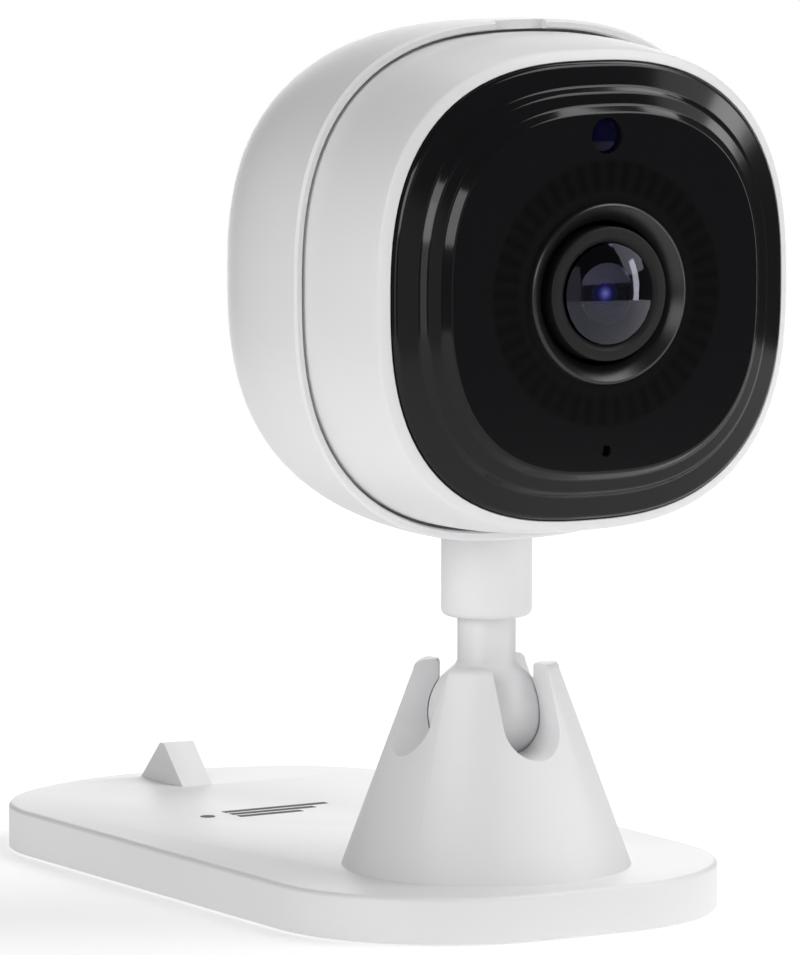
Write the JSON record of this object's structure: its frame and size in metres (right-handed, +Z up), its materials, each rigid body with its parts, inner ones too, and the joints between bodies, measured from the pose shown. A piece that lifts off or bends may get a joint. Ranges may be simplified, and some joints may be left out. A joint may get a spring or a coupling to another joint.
{
  "type": "security camera",
  "caption": "Indoor security camera: rounded-square white head with a stepped black window, swivelling on a ball stud held in a slotted cone on a long flat weighted stand.",
  "frame": {"origin": "on the stem's axis, on the surface that the rubber pad rests on", "axes": "the lens looks along -Y, the long end of the stand runs along +Y, X is across the stand, Z is up"},
  "size_m": [0.0588, 0.1074, 0.1023],
  "materials": {
    "stand_white": "fine matt moulded ABS",
    "head_white": "fine satin moulded ABS and polycarbonate",
    "window_black": "polished infrared-clear black acrylic",
    "trim_black": "satin black moulded ring",
    "lens_black": "black nylon",
    "lens_glass": "coated optical glass",
    "filter_glass": "thin coated glass",
    "clear_plastic": "dark clear polycarbonate",
    "steel": "zinc-plated steel",
    "ballast_steel": "plain rolled steel",
    "brass": "turned brass",
    "aluminium": "stamped sheet",
    "circuit_board": "solder-masked glass epoxy",
    "black_board": "black solder-masked glass epoxy",
    "chip_black": "moulded epoxy",
    "copper_winding": "enamelled copper wire",
    "rubber_grey": "soft silicone rubber",
    "foam_black": "closed-cell foam",
    "film": "polyimide film",
    "led_clear": "clear cast epoxy",
    "cone_paper": "coated paper"
  },
  "bodies": {
    "stand": {"base_cover": "stand_white", "ballast_plate": "ballast_steel", "base_bottom": "stand_white", "base_screws": "steel", "anti_slip_pad": "rubber_grey"},
    "ball_stud": {"ball_stud": "stand_white", "swivel_washer": "steel", "swivel_screw": "steel"},
    "head": {"rear_shell": "head_white", "front_shell": "head_white", "front_window": "window_black", "window_gasket": "foam_black", "lens_trim_ring": "trim_black", "lens_barrel": "lens_black", "lens_front_glass": "lens_glass", "lens_rear_glass": "lens_glass", "lens_lock_ring": "lens_black", "lens_holder": "lens_black", "filter_coil": "copper_winding", "image_sensor": "chip_black", "sensor_board": "circuit_board", "main_board": "circuit_board", "board_standoffs": "brass", "board_screws": "steel", "processor": "chip_black", "thermal_pad": "rubber_grey", "heat_spreader": "aluminium", "wifi_shield": "steel", "wifi_antenna": "film", "ir_led_board": "black_board", "ir_leds": "led_clear", "light_sensor": "chip_black", "light_pipe": "clear_plastic", "status_led": "led_clear", "microphone": "steel", "microphone_boot": "rubber_grey", "ribbon_cable": "film", "ribbon_sockets": "lens_black", "speaker_frame": "steel", "speaker_diaphragm": "cone_paper", "speaker_seal": "foam_black", "io_board": "circuit_board", "io_connector": "lens_black", "usb_socket": "steel", "card_socket": "steel", "reset_switch": "chip_black"},
    "filter_carrier": {"filter_slider": "lens_black", "infrared_cut_filter": "filter_glass", "clear_filter": "filter_glass"},
    "memory_card": {"memory_card": "chip_black"},
    "reset_button": {"reset_button": "head_white"}
  },
  "joints": [
    {"name": "ball_tilt", "type": "hinge", "parent": "stand", "child": "ball_stud", "pos_m": [0, 0, 0.02285], "axis": [1, 0, 0], "range_deg": [-65, 65]},
    {"name": "head_swivel", "type": "hinge", "parent": "ball_stud", "child": "head", "pos_m": [0, 0, 0.03415], "axis": [0, 0, 1], "continuous": true},
    {"name": "filter_shift", "type": "slide", "parent": "head", "child": "filter_carrier", "axis": [1, 0, 0], "range_m": [0, 0.0062]},
    {"name": "card_pull", "type": "slide", "parent": "head", "child": "memory_card", "axis": [0, 1, 0], "range_m": [0, 0.012]},
    {"name": "reset_press", "type": "slide", "parent": "head", "child": "reset_button", "axis": [0, -1, 0], "range_m": [0, 0.0004], "stiffness_N_per_m": 400}
  ]
}
